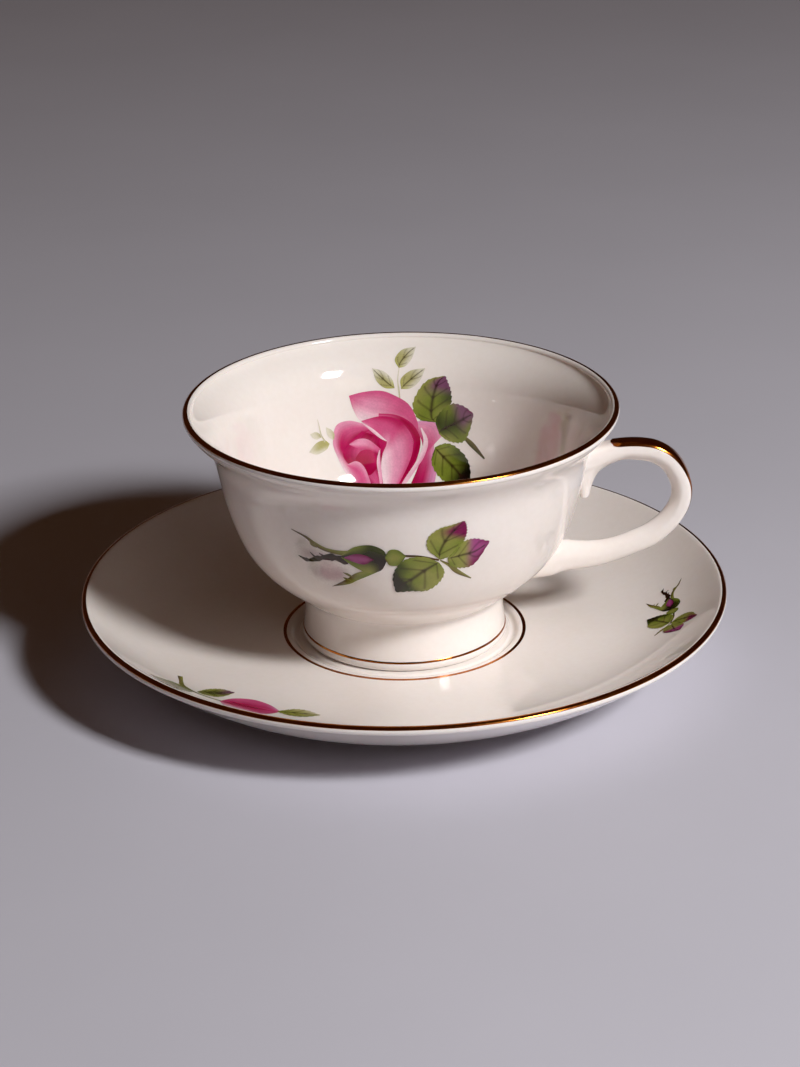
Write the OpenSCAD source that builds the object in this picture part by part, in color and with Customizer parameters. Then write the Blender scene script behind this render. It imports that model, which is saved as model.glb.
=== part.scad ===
// Footed porcelain teacup standing on its matching saucer.
// Origin: centre of the saucer's foot ring, on the table. +Z up, handle towards +X. Millimetres.

/* [Saucer] */
// Radius of the saucer's rim, to the middle of its gold line
saucer_r = 75; // [60:0.5:90]
// Height of the saucer's rim gold line above the table
saucer_h = 18; // [14:0.5:26]
// Radius of the rounding along the saucer's edge
saucer_edge_r = 1.05; // [0.6:0.05:2]
// Height of the flat floor that the cup stands on
well_floor_z = 5.8; // [4:0.1:9]
// Radius of the groove round the well's floor
well_r = 25.5; // [25:0.1:30]
// Depth of the groove round the well's floor
well_groove = 0.4; // [0.1:0.05:0.8]
// Height of the small step round the well
well_step = 0.4; // [0.2:0.05:1]
// Outer radius of the saucer's foot ring
saucer_foot_r = 46; // [38:0.5:52]
// Width of the saucer's foot ring
saucer_foot_w = 3.6; // [2:0.1:6]
// Height of the underside above the table inside the foot ring
saucer_foot_depth = 2; // [1:0.1:3]

/* [Cup] */
// Height of the cup's lip above its own base
cup_h = 57; // [45:0.5:80]
// Wall thickness near the lip
lip_wall = 1.7; // [1:0.1:3]
// Radius of the bead along the lip
lip_bead_r = 1; // [0.8:0.05:1.4]
// Wall thickness near the bottom
bottom_wall = 3; // [2:0.1:5]
// Outer radius of the foot at its gold band
foot_r = 24.1; // [23:0.1:24.8]
// Outer radius of the foot's waist
foot_waist_r = 23.3; // [21:0.1:24]
// Inner radius of the hollow foot
foot_hollow_r = 19.6; // [15:0.1:21]

/* [Handle] */
// Half thickness scale of the whole handle
handle_scale = 1; // [0.8:0.05:1.2]
// Squareness of the handle's outer face, 1 is round
outer_squareness = 0.5; // [0.4:0.05:1]
// Squareness of the handle's finger side, 1 is round and more is a wedge
inner_squareness = 1.4; // [0.4:0.05:1.6]

/* [Decoration] */
// Thickness of the gilding and of the printed transfers
skin = 0.1; // [0.05:0.01:0.3]
// Width of the gold line round the step of the well
well_line_w = 0.9; // [0.5:0.1:2]
// Height of the gold band round the foot
foot_band_h = 1.2; // [0.5:0.1:1.8]
// Width of the printed stems
stem_w = 0.5; // [0.3:0.1:1.5]

/* [Hidden] */
ivory = [0.93, 0.90, 0.86];
gold = [0.62, 0.42, 0.16];
rose_pink = [0.80, 0.42, 0.52];
leaf_green = [0.38, 0.47, 0.26];
pale_olive = [0.66, 0.65, 0.48];
bud_purple = [0.45, 0.22, 0.42];

$fn = 96;
curve_steps = 8;
arc_steps = 8;
handle_steps = 3;
handle_sides = 20;
reach = 70;

// ---- curves ----

// One point of a cubic curve
function cubic(p, t) =
    pow(1 - t, 3) * p[0] + 3 * pow(1 - t, 2) * t * p[1] + 3 * (1 - t) * t * t * p[2] + pow(t, 3) * p[3];

// A cubic curve as points, without its first point
function curve(p, steps = curve_steps) = [for (i = [1:steps]) cubic(p, i / steps)];

// Points along an arc from angle a to angle b
function arc(centre, r, a, b, steps = arc_steps) =
    [for (i = [0:steps]) let (u = a + (b - a) * i / steps) centre + r * [cos(u), sin(u)]];

function unit(v) = v / norm(v);
function reversed(list) = [for (i = [len(list) - 1:-1:0]) list[i]];

// Left-hand normal of a polyline at point i
function side_normal(p, i) =
    let (d = unit(p[min(i + 1, len(p) - 1)] - p[max(i - 1, 0)])) [-d.y, d.x];

// A polyline moved to its left, by w0 at its start and w1 at its end
function moved(p, w0, w1) =
    [for (i = [0:len(p) - 1]) p[i] + side_normal(p, i) * (w0 + (w1 - w0) * i / (len(p) - 1))];

// ---- saucer profiles, as [radius, height] ----

rim_centre = [saucer_r - 0.55, saucer_h - 0.95];
rim_tilt = 37;
rim_top = rim_centre + saucer_edge_r * [cos(90 + rim_tilt), sin(90 + rim_tilt)];
rim_under = rim_centre + saucer_edge_r * [cos(rim_tilt - 90), sin(rim_tilt - 90)];
well_line_r = well_r + 2.3;
step_z = well_floor_z + well_step;
groove_w = 0.9;
bead_h = 0.4;

// The well: its flat floor, the groove round it and the raised bead inside the gold line
saucer_well = concat(
    [[0, well_floor_z], [well_r - groove_w, well_floor_z], [well_r, well_floor_z - well_groove]],
    curve([[well_r, well_floor_z - well_groove], [well_r + groove_w, well_floor_z - well_groove],
        [well_line_r - 1.5, step_z + bead_h], [well_line_r, step_z]], 6));

saucer_slope = concat([[well_line_r + well_line_w, step_z]],
    curve([[well_line_r + well_line_w, step_z], [57, step_z - 0.8], [64, 10.2], rim_top], 12));
saucer_under = concat([rim_under],
    curve([rim_under, [66, 9.3], [58.5, 3], [saucer_foot_r, 2.4]], 12));
saucer_ring = concat(
    arc([saucer_foot_r - 0.8, 0.8], 0.8, 0, -90),
    arc([saucer_foot_r - saucer_foot_w + 0.8, 0.8], 0.8, -90, -180),
    [[saucer_foot_r - saucer_foot_w - 1, saucer_foot_depth], [0, saucer_foot_depth]]);

// ---- cup profiles, measured from the cup's own base ----

cup_z = well_floor_z;
junction = [24.5, 12.3];
shoulder = [38.95, 29];
throat = [42.98, 45];
lip_centre = [48.95, cup_h - lip_bead_r];
lip_crease = -55;
lip_inner = 165;

bowl_outside = concat([junction],
    curve([junction, [31.8, 17.9], [35.9, 20.5], shoulder]),
    curve([shoulder, [41.45, 35.97], [41.86, 39.93], throat]),
    curve([throat, [44.43, 51.55], [48.2, 52.6], lip_centre + lip_bead_r * [cos(lip_crease), sin(lip_crease)]]));
bowl_inside = moved(bowl_outside, bottom_wall, lip_wall);
bowl_lip = arc(lip_centre, lip_bead_r, lip_crease, lip_inner, 14);
bowl_underside = curve([[0, 8.2], [9, 8.2], [18, 8.4], junction]);
inside_start = bowl_inside[0];
floor_z = inside_start.y - 3.2;
bowl_floor = curve([inside_start, [inside_start.x - 3.5, floor_z + 0.7], [10, floor_z], [0, floor_z]]);
foot_contact = [for (p = bowl_underside) if (p.x > foot_hollow_r - 2) p];

// The foot's side: in from the bowl to its waist, out to its gold band, then round to the base
foot_round = 1.5;
foot_flare = 0.4;
foot_band = [[foot_r - foot_flare, foot_round + foot_band_h], [foot_r, foot_round]];
foot_waist = [foot_waist_r, 7.8];
foot_side = concat(
    curve([junction, [foot_waist_r + 0.2, 11.2], [foot_waist_r, 9.6], foot_waist], 6),
    curve([foot_waist, [foot_waist_r, 5.8], [foot_band[0].x - 0.1, 4.6], foot_band[0]], 6));

// ---- handle, stations as [x, z, thickness, width] from the upper end to the lower end ----

loop = [
    [42, 42.4, 5.4, 6], [47, 43.8, 4.8, 5.6], [51, 44.5, 4.9, 5.4], [55, 44.4, 5.2, 5.2],
    [58.4, 43.7, 5.2, 5.2], [61.5, 41.7, 5.1, 5.2], [63.6, 38.6, 4.9, 5.2],
    [64.7, 35, 4.8, 5.2], [64.3, 31.5, 4.8, 5.2], [62.6, 28.2, 4.9, 5.2],
    [60.2, 25.5, 5.1, 5.3], [57.5, 23.4, 5.3, 5.4], [54.5, 22, 5.3, 5.6],
    [51.2, 20.7, 5.2, 5.8], [47.7, 19.6, 5.5, 6], [44, 18.9, 6.1, 6.4],
    [40.6, 18.7, 6.6, 6.8], [37, 18.7, 7.4, 7.6], [33.4, 18, 8, 8.8],
    [29.5, 16.8, 6.6, 9], [25.5, 15.4, 4, 8]
];
tail = [
    [42.3, 33, 2.2, 3.4], [42.4, 35, 2.8, 3.8], [42.7, 37.5, 3.6, 4.4], [43.8, 40.3, 4.2, 5],
    [46.2, 42.2, 4, 5.2], [49.6, 43.5, 3.6, 5], [52.8, 44.1, 3, 4.6]
];
web = [[41, 40.4, 5.4, 5.8], [44.6, 41.8, 4.4, 5.6], [47.8, 43.1, 3.6, 5.4], [51, 43.9, 3, 5]];
gilding_start = 4;
gilding_end = 25;

// ---- shapes ----

// A smooth path through stations, as points with every value blended
function blended(s, i, t) =
    let (a = s[max(i - 1, 0)], b = s[i], c = s[i + 1], d = s[min(i + 2, len(s) - 1)])
    0.5 * (2 * b + (c - a) * t + (2 * a - 5 * b + 4 * c - d) * t * t + (3 * b - a - 3 * c + d) * t * t * t);
function path(s) = concat(
    [for (i = [0:len(s) - 2]) for (k = [0:handle_steps - 1]) blended(s, i, k / handle_steps)],
    [s[len(s) - 1]]);

// Signed power, which squares a round section
function squared(v, e) = sign(v) * pow(abs(v), e);

// A point of the section at station i, at angle a: 90 is the outer face, 0 and 180 are the sides
function section_point(p, i, a, grow = 0) =
    let (
        n = side_normal([for (s = p) [s.x, s.y]], i),
        e = sin(a) > 0 ? outer_squareness : inner_squareness,
        out = (p[i][2] * handle_scale / 2 + grow) * squared(sin(a), e),
        side = (p[i][3] * handle_scale / 2 + grow) * squared(cos(a), e)
    )
    [p[i].x + n.x * out, side, p[i].y + n.y * out];

// Closed tube through rings that all have the same number of points
module tube(rings) {
    sides = len(rings[0]);
    last = (len(rings) - 1) * sides;
    polyhedron(
        points = [for (r = rings) each r],
        faces = concat(
            [[for (k = [0:sides - 1]) k]],
            [[for (k = [sides - 1:-1:0]) last + k]],
            [for (i = [0:len(rings) - 2]) for (k = [0:sides - 1])
                let (a = i * sides + k, b = i * sides + (k + 1) % sides)
                each [[a, a + sides, b], [b, a + sides, b + sides]]]
        ));
}

// One branch of the handle
module branch(stations) {
    p = path(stations);
    tube([for (i = [0:len(p) - 1])
        [for (k = [0:handle_sides - 1]) section_point(p, i, 360 * k / handle_sides)]]);
}

// Turned solid of the whole cup without its hollow
module bowl_solid() {
    rotate_extrude() polygon(concat([[0, cup_h]], reversed(bowl_outside), [[0, junction.y]]));
}

// Thin turned layer on a profile, on its left side, or on its right side where t is negative
module layer(profile, t) {
    rotate_extrude() polygon(concat(profile, reversed(moved(profile, t, t))));
}

// ---- printed motifs, flat ----

// Pointed leaf from a base point, at an angle
module leaf(base, angle, length, width) {
    r = (length * length / width + width) / 4;
    translate(base) rotate(angle) translate([length / 2, 0]) intersection() {
        translate([0, r - width / 2]) circle(r);
        translate([0, width / 2 - r]) circle(r);
    }
}

// Stem that bends evenly from a to b, through the control points c and d
module stem(a, c, d, b, w = stem_w) {
    p = concat([a], curve([a, c, d, b], 6));
    polygon(concat(moved(p, w / 2, w / 4), reversed(moved(p, -w / 2, -w / 4))));
}

// Bud: an oval with a pointed calyx
module bud(centre, angle, length, width) {
    translate(centre) rotate(angle) scale([length / width, 1]) circle(width / 2);
    leaf(centre - length * 0.7 * [cos(angle), sin(angle)], angle, length, width * 0.7);
}

// Spray of one bud, its leaves and its tendrils, about 40 wide, round the point [0, 0]
module bud_spray() {
    bud([-2, 0], 170, 9, 5.5);
    leaf([5, -1], 35, 11, 5);
    leaf([4, -2], -5, 12, 5);
    leaf([2, -2], -80, 8, 5);
    stem([-1, 0], [4, -1], [8, -3], [12, -7]);
    stem([-6, 1], [-10, 2], [-14, 5], [-18, 4]);
    stem([-6, 0], [-9, -2], [-12, -2], [-15, -5]);
}

// Places a flat motif on the saucer's slope, centred at an azimuth and a radius
module on_saucer(azimuth, r, turn) {
    intersection() {
        layer(saucer_slope, skin);
        rotate(azimuth) translate([r, 0]) rotate(turn) linear_extrude(saucer_h + 5) children();
    }
}

// ---- sub-parts: saucer ----

module saucer_body() {
    color(ivory) rotate_extrude() polygon(concat(
        saucer_well,
        saucer_slope,
        arc(rim_centre, saucer_edge_r, 90 + rim_tilt, rim_tilt - 90),
        saucer_under,
        saucer_ring));
}

module saucer_rim_gilding() {
    color(gold) layer(arc(rim_centre, saucer_edge_r, 20, 100), -skin);
}

module saucer_well_gilding() {
    color(gold) layer([[well_line_r, step_z], [well_line_r + well_line_w, step_z]], skin);
}

module saucer_rosebud_transfer() {
    color(rose_pink) on_saucer(-129, 58, 120) bud_spray();
}

module saucer_purple_bud_transfer() {
    color(bud_purple) on_saucer(-3, 62, -90) scale(0.65) bud_spray();
}

module saucer_rear_bud_transfer() {
    color(rose_pink) on_saucer(112, 58, -98) bud_spray();
}

// ---- sub-parts: cup ----

module bowl() {
    color(ivory) translate([0, 0, cup_z]) rotate_extrude() polygon(concat(
        [[0, bowl_underside[0].y]],
        bowl_underside,
        bowl_outside,
        bowl_lip,
        reversed(bowl_inside),
        bowl_floor));
}

module foot() {
    color(ivory) translate([0, 0, cup_z]) rotate_extrude() polygon(concat(
        foot_contact,
        foot_side,
        arc([foot_r - foot_round, foot_round], foot_round, 0, -90),
        [[foot_hollow_r + 1.6, 0], [foot_hollow_r, 1.2]]));
}

module handle() {
    color(ivory) translate([0, 0, cup_z]) difference() {
        union() {
            branch(loop);
            branch(tail);
            branch(web);
        }
        bowl_solid();
    }
}

module rim_gilding() {
    color(gold) translate([0, 0, cup_z]) layer(arc(lip_centre, lip_bead_r, 20, 105), -skin);
}

module foot_gilding() {
    color(gold) translate([0, 0, cup_z]) layer(foot_band, skin);
}

// The stroke over the handle: full width at the top, down to a point at the widest place
module handle_gilding() {
    p = path(loop);
    span = gilding_end - gilding_start;
    color(gold) translate([0, 0, cup_z]) tube([for (i = [gilding_start:gilding_end])
        let (
            u = (i - gilding_start) / span,
            half = 6 + 36 * pow(sin(180 * pow(u, 0.6)), 0.5) * (1 - 0.4 * u),
            angles = [for (k = [0:arc_steps]) 90 - half + 2 * half * k / arc_steps]
        )
        concat(
            [for (a = angles) section_point(p, i, a, skin)],
            [for (a = reversed(angles)) section_point(p, i, a)])]);
}

// A motif on the far inside wall, drawn in x and height
module on_inside() {
    translate([0, 0, cup_z]) intersection() {
        layer(bowl_inside, skin);
        mirror([0, 1, 0]) rotate([90, 0, 0]) linear_extrude(reach) children();
    }
}

module inner_rose_transfer() {
    color(rose_pink) on_inside() {
        translate([-5, 31]) circle(9.5);
        for (a = [100, 150, 200, 340, 50])
            translate([-5, 31] + 5 * [cos(a), sin(a)]) circle(6.5);
    }
}

module inner_leaf_transfer() {
    color(leaf_green) on_inside() difference() {
        union() {
            leaf([2, 36.5], 55, 13, 5.5);
            leaf([6.5, 40.5], 2, 11, 5);
            leaf([6, 33], -38, 13, 5.5);
            stem([5, 36], [10, 36], [15, 35], [20, 31]);
        }
        translate([-5, 31]) circle(9.6);
        for (a = [340, 50])
            translate([-5, 31] + 5 * [cos(a), sin(a)]) circle(6.6);
    }
}

module inner_sprig_transfer() {
    color(pale_olive) on_inside() {
        leaf([-1.5, 49], 50, 7, 3);
        leaf([-3.5, 48], 210, 6.5, 3);
        leaf([0, 48.5], 10, 6.5, 3);
        stem([-2.2, 42.4], [-2.4, 45], [-2.4, 47], [-1, 49.5]);
        leaf([-16.5, 34.5], 125, 8, 3.4);
    }
}

module outer_bud_transfer() {
    color(bud_purple) translate([0, 0, cup_z]) intersection() {
        layer(bowl_outside, -skin);
        rotate([90, 0, 0]) linear_extrude(reach) translate([-3, 35.6]) bud_spray();
    }
}

saucer_body();
saucer_rim_gilding();
saucer_well_gilding();
saucer_rosebud_transfer();
saucer_purple_bud_transfer();
saucer_rear_bud_transfer();
bowl();
foot();
handle();
rim_gilding();
foot_gilding();
handle_gilding();
inner_rose_transfer();
inner_leaf_transfer();
inner_sprig_transfer();
outer_bud_transfer();
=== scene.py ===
"""Footed teacup on its saucer: glazed ivory porcelain, burnished gold lines and printed flowers."""
import math

import bpy
import numpy as np
from mathutils import Matrix, Vector
from mathutils.bvhtree import BVHTree


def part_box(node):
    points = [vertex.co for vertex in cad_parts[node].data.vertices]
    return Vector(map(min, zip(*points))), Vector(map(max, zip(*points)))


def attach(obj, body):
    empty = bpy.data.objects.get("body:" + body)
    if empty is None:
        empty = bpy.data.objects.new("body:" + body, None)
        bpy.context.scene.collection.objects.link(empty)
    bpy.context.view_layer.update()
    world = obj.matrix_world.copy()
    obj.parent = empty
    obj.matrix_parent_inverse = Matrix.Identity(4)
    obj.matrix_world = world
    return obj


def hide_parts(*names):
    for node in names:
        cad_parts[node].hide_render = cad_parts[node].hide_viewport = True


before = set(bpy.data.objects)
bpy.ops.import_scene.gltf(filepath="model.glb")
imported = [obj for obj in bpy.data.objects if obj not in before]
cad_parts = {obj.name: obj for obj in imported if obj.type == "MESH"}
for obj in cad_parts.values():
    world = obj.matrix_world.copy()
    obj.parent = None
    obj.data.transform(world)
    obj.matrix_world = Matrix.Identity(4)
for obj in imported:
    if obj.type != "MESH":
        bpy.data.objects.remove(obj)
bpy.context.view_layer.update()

# Sizes are in millimetres in the part's own frame, and become metres in mesh_object(). Only the
# lights and the camera are in metres. Angles are in degrees.
MM = 0.001
CUP_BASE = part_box("foot")[0].z / MM

# ---- saucer sizes ----
# The rim: its gold line's radius and height, and the rounding along its edge
SAUCER_R = 75.0
SAUCER_H = 18.0
EDGE_R = 1.05
RIM_TILT = 37
RIM_CENTRE = (SAUCER_R - 0.55, SAUCER_H - 0.95)
# The well: its flat floor, the groove round it, then the raised bead and the step with the gold line
WELL_Z = 5.8
WELL_R = 25.5
GROOVE_DEPTH = 0.4
GROOVE_W = 0.9
BEAD_H = 0.4
STEP_Z = 6.2
LINE_R = 27.8
LINE_W = 0.9
# The foot ring under the saucer
RING_R = 46.0
RING_W = 3.6
RING_DEPTH = 2.0
RING_ROUND = 0.8

# ---- cup sizes, heights from the cup's own base ----
# The wall's thickness at its two ends, then the bead along the lip and the angles it spans
LIP_WALL = 1.7
BOTTOM_WALL = 3.0
LIP_CENTRE = (48.95, 56.0)
LIP_BEAD_R = 1.0
LIP_CREASE = -55
LIP_INNER = 165
# Radius and height of three points on the bowl's side: at the foot, at mid-height and below the flare
JUNCTION = (24.5, 12.3)
SHOULDER = (38.95, 29.0)
THROAT = (42.98, 45.0)
# The hollow foot, its waist and its gold band
FOOT_R = 24.1
FOOT_ROUND = 1.5
FOOT_FLARE = 0.4
WAIST_R = 23.3
WAIST_Z = 7.8
HOLLOW_R = 19.6
BAND_TOP = 2.7
BAND_H = 1.3
BAND_INSET = 0.02

# ---- mesh detail ----
TURN_STEPS = 320
CURVE_STEPS = 28
LONG_CURVE_STEPS = 60
ARC_STEPS = 16
LIP_STEPS = 28
FOOT_STEPS = 14
SHARP_ANGLE = 40
TINY = 1e-4
NO_WIDTH = 1e-6

# ---- gilding: its lift off the glaze, and how far its edges sink in to hide their thickness ----
GOLD_LIFT = 0.06
GOLD_SINK = 0.02
GOLD_ROUNDING = 0.3
GOLD_ROWS = 12
GOLD_ARC_STEPS = 40
GOLD_MARGIN = 0.05
SAUCER_GOLD_ARC = (100, 20)
LIP_GOLD_ARC = (108, 20)

# The stroke over the handle: where it runs on the loop, its ends, its half width in degrees, its mesh
STROKE_FROM = 0.072
STROKE_TO = 0.45
STROKE_START = 0.07
STROKE_TAPER = 0.5
TAPER_POWER = 0.6
STROKE_LEAST = 2
STROKE_SPREAD = 36
STROKE_COLUMNS = 25
STROKE_CLEARANCE = 1.0
STROKE_PASSES = 12
AIM_FLATNESS = 0.3

# ---- prints: the spacing of their points, their lift and the extra lift of each further layer ----
PRINT_PITCH = 0.22
PRINT_LIFT = 0.03
LAYER_LIFT = 0.006
TOOTH_DEPTH = 0.32
THORN_SIZE = 0.9

# Veins of a leaf: widths and reaches as shares of the leaf, and how dark they are
RIB_WIDTH = 0.045
RIB_END = 0.93
RIB_DARKNESS = 0.85
VEIN_WIDTH = 0.09
VEIN_SLANT = 2.2
VEIN_REACH = 0.42
VEIN_DARKNESS = 0.55
DARKEST_VEIN = 0.9

# ---- paint, as sRGB ----
PAINT = {
    "deep": (0.62, 0.02, 0.24),
    "magenta": (0.71, 0.08, 0.34),
    "rose": (0.82, 0.34, 0.53),
    "soft": (0.89, 0.59, 0.71),
    "pale": (0.94, 0.84, 0.87),
    "lilac": (0.87, 0.58, 0.75),
    "green": (0.45, 0.50, 0.17),
    "olive": (0.55, 0.56, 0.27),
    "dark_green": (0.21, 0.26, 0.03),
    "purple": (0.48, 0.30, 0.42),
    "plum": (0.46, 0.03, 0.29),
    "mauve": (0.60, 0.27, 0.49),
    "black_green": (0.04, 0.05, 0.01),
    "black_plum": (0.07, 0.01, 0.05),
    "brown": (0.33, 0.22, 0.10),
    "dark_brown": (0.17, 0.09, 0.05),
    "pale_olive": (0.68, 0.66, 0.44),
    "yellow_green": (0.70, 0.70, 0.34),
    "faint_olive": (0.86, 0.84, 0.77),
    "faint_pink": (0.84, 0.78, 0.78),
    "white": (0.945, 0.92, 0.90),
}

# ---- stage, which stays out of the model ----
FLOOR_HALF = 3000
FLOOR_COLOUR = (0.58, 0.575, 0.65)
FLOOR_ROUGHNESS = 0.6
ROOM_COLOUR = (1.0, 0.42, 0.15, 1)
ROOM_STRENGTH = 0.035

# Soft lights: azimuth, elevation, distance, size, power in watts, colour
LIGHTS = {
    "key": (-41, 37, 1.1, 0.18, 12.3, (1.0, 0.985, 0.975)),
    "fill": (-58, 15, 1.3, 0.5, 0.5, (1.0, 0.86, 0.72)),
    "top": (100, 70, 1.2, 0.6, 0.04, (1.0, 0.8, 0.6)),
}
LIGHT_TARGET = (0, 0, 0.035)

# The camera's place, its angles, and its lens and sensor in millimetres
CAMERA_AT = (-0.0007, -0.6001, 0.2887)
CAMERA_PITCH = 23.3
CAMERA_ROLL = -1.03
CAMERA_LENS = 94.5
CAMERA_SENSOR = 36


# ---------------------------------------------------------------- curves

def cubic(p0, p1, p2, p3, steps=CURVE_STEPS):
    """Points of a cubic curve, without its first point."""
    t = np.linspace(0, 1, steps + 1)[1:, None]
    p0, p1, p2, p3 = (np.array(p, float) for p in (p0, p1, p2, p3))
    return (1 - t) ** 3 * p0 + 3 * (1 - t) ** 2 * t * p1 + 3 * (1 - t) * t**2 * p2 + t**3 * p3


def arc(centre, radius, start, end, steps=ARC_STEPS):
    """Points along an arc between two angles in degrees."""
    a = np.radians(np.linspace(start, end, steps + 1))
    return np.array(centre) + radius * np.stack([np.cos(a), np.sin(a)], 1)


def normals(line):
    """Left-hand unit normals of a polyline."""
    d = np.gradient(line, axis=0)
    d /= np.linalg.norm(d, axis=1, keepdims=True)
    return np.stack([-d[:, 1], d[:, 0]], 1)


def moved(line, start, end):
    """A polyline moved to its left, by start at its first point and end at its last."""
    return line + normals(line) * np.linspace(start, end, len(line))[:, None]


def smooth_line(points, steps):
    """A smooth line through the given points, with every coordinate blended."""
    p = np.array(points, float)
    p = np.vstack([2 * p[0] - p[1], p, 2 * p[-1] - p[-2]])
    s = np.linspace(0, len(points) - 1, steps)
    i = np.minimum(s.astype(int), len(points) - 2)
    t = (s - i)[:, None]
    a, b, c, d = p[i], p[i + 1], p[i + 2], p[i + 3]
    bend = 2 * a - 5 * b + 4 * c - d
    twist = 3 * b - a - 3 * c + d
    return 0.5 * (2 * b + (c - a) * t + bend * t**2 + twist * t**3)


# ---------------------------------------------------------------- profiles, as radius and height

def saucer_profiles():
    """The saucer's well, its upper slope, its rim, its underside and its foot ring."""
    rim_top = arc(RIM_CENTRE, EDGE_R, 90 + RIM_TILT, 90 + RIM_TILT, 0)[0]
    rim_under = arc(RIM_CENTRE, EDGE_R, RIM_TILT - 90, RIM_TILT - 90, 0)[0]
    start = (LINE_R + LINE_W, STEP_Z)
    slope = np.vstack([start, cubic(start, (57, STEP_Z - 0.8), (64, 10.2), rim_top, LONG_CURVE_STEPS)])
    rim = arc(RIM_CENTRE, EDGE_R, 90 + RIM_TILT, RIM_TILT - 90)
    under = cubic(rim_under, (66, 9.3), (58.5, 3), (RING_R, 2.4), LONG_CURVE_STEPS)
    inner_ring = RING_R - RING_W
    ring = np.vstack([
        arc((RING_R - RING_ROUND, RING_ROUND), RING_ROUND, 0, -90),
        arc((inner_ring + RING_ROUND, RING_ROUND), RING_ROUND, -90, -180),
        (inner_ring - 1, RING_DEPTH),
        (0, RING_DEPTH),
    ])
    floor_edge = (WELL_R - GROOVE_W, WELL_Z)
    groove = (WELL_R, WELL_Z - GROOVE_DEPTH)
    bead = (LINE_R - 1.5, STEP_Z + BEAD_H)
    well = np.vstack([
        (0, WELL_Z),
        floor_edge,
        cubic(floor_edge, (WELL_R - 0.4, WELL_Z), (WELL_R - 0.5, groove[1]), groove, 8),
        cubic(groove, (WELL_R + GROOVE_W, groove[1]), bead, (LINE_R, STEP_Z), ARC_STEPS),
    ])
    return {"well": well, "slope": slope, "rim": rim, "under": under, "ring": ring}


def bowl_profiles():
    """The bowl's outer and inner walls from the foot to the lip, its lip, its floor and its underside."""
    lip = arc(LIP_CENTRE, LIP_BEAD_R, LIP_CREASE, LIP_INNER, LIP_STEPS)
    outside = np.vstack([
        JUNCTION,
        cubic(JUNCTION, (31.8, 17.9), (35.9, 20.5), SHOULDER),
        cubic(SHOULDER, (41.45, 35.97), (41.86, 39.93), THROAT),
        cubic(THROAT, (44.43, 51.55), (48.2, 52.6), lip[0]),
    ])
    inside = moved(outside, BOTTOM_WALL, LIP_WALL)
    start = inside[0]
    floor_z = start[1] - 3.2
    floor = cubic(start, (start[0] - 3.5, floor_z + 0.7), (10, floor_z), (0, floor_z))
    under = cubic((0, 8.2), (9, 8.2), (18, 8.4), JUNCTION)
    return {"outside": outside, "inside": inside, "lip": lip, "floor": floor, "under": under}


SAUCER = saucer_profiles()
BOWL = bowl_profiles()


# ---------------------------------------------------------------- meshes

def linear(colour):
    """An sRGB colour as linear light."""
    c = np.array(colour, float)
    return np.where(c <= 0.04045, c / 12.92, ((c + 0.055) / 1.055) ** 2.4)


def mesh_object(name, points, faces, material, paint=None):
    """A smooth-shaded object from points in millimetres, with an optional paint colour per point."""
    mesh = bpy.data.meshes.new(name)
    mesh.from_pydata((np.asarray(points) * MM).tolist(), [], faces)
    mesh.validate()
    mesh.polygons.foreach_set("use_smooth", [True] * len(mesh.polygons))
    mesh.set_sharp_from_angle(angle=math.radians(SHARP_ANGLE))
    if paint is not None:
        layer = mesh.color_attributes.new("paint", "FLOAT_COLOR", "POINT")
        rgba = np.ones((len(points), 4))
        rgba[:, :3] = paint
        layer.data.foreach_set("color", rgba.ravel())
    mesh.materials.append(material)
    obj = bpy.data.objects.new(name, mesh)
    bpy.context.scene.collection.objects.link(obj)
    return obj


def grid_faces(rows, cols, closed):
    """Quads between neighbouring rows of points. Each row closes on itself where closed is true."""
    faces = []
    for i in range(rows - 1):
        for k in range(cols if closed else cols - 1):
            a = i * cols + k
            b = i * cols + (k + 1) % cols
            faces.append((a, b, b + cols, a + cols))
    return faces


def turned(profile, height=0.0):
    """Points and faces of a profile turned about the vertical axis."""
    a = np.linspace(0, 2 * math.pi, TURN_STEPS, endpoint=False)
    r = np.maximum(profile[:, 0], TINY)[:, None]
    z = np.broadcast_to(profile[:, 1][:, None] + height, (len(profile), TURN_STEPS))
    points = np.stack([r * np.cos(a), r * np.sin(a), z], -1).reshape(-1, 3)
    return points, grid_faces(len(profile), TURN_STEPS, True)


def closed_profile(*parts):
    """Joins parts of an outline, dropping points that repeat."""
    line = np.vstack(parts)
    keep = np.ones(len(line), bool)
    keep[1:] = np.linalg.norm(np.diff(line, axis=0), axis=1) > TINY
    return line[keep]


def place(obj, body, slot, *nodes):
    """Ties a piece to its body and hides the CAD nodes that it stands for. The slot is not used."""
    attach(obj, body)
    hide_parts(*nodes)
    return obj


# ---------------------------------------------------------------- materials

def new_material(name):
    """A new node material, its tree, its shader, and a helper that adds and links nodes."""
    material = bpy.data.materials.new(name)
    material.use_nodes = True
    tree = material.node_tree
    shader = tree.nodes["Principled BSDF"]

    def add(kind, inputs=None, **settings):
        """A new node with its settings, and its inputs set to values or linked to other nodes."""
        node = tree.nodes.new(kind)
        for key, value in settings.items():
            setattr(node, key, value)
        for key, value in (inputs or {}).items():
            if isinstance(value, bpy.types.NodeSocket):
                tree.links.new(value, node.inputs[key])
            else:
                node.inputs[key].default_value = value
        return node

    return material, tree, shader, add


def ramp(add, factor, stops):
    """A colour ramp fed by a factor."""
    node = add("ShaderNodeValToRGB", {"Fac": factor})
    elements = node.color_ramp.elements
    while len(elements) < len(stops):
        elements.new(0.5)
    for element, (position, colour) in zip(elements, stops):
        element.position = position
        element.color = (*colour, 1)
    return node.outputs["Color"]


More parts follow.
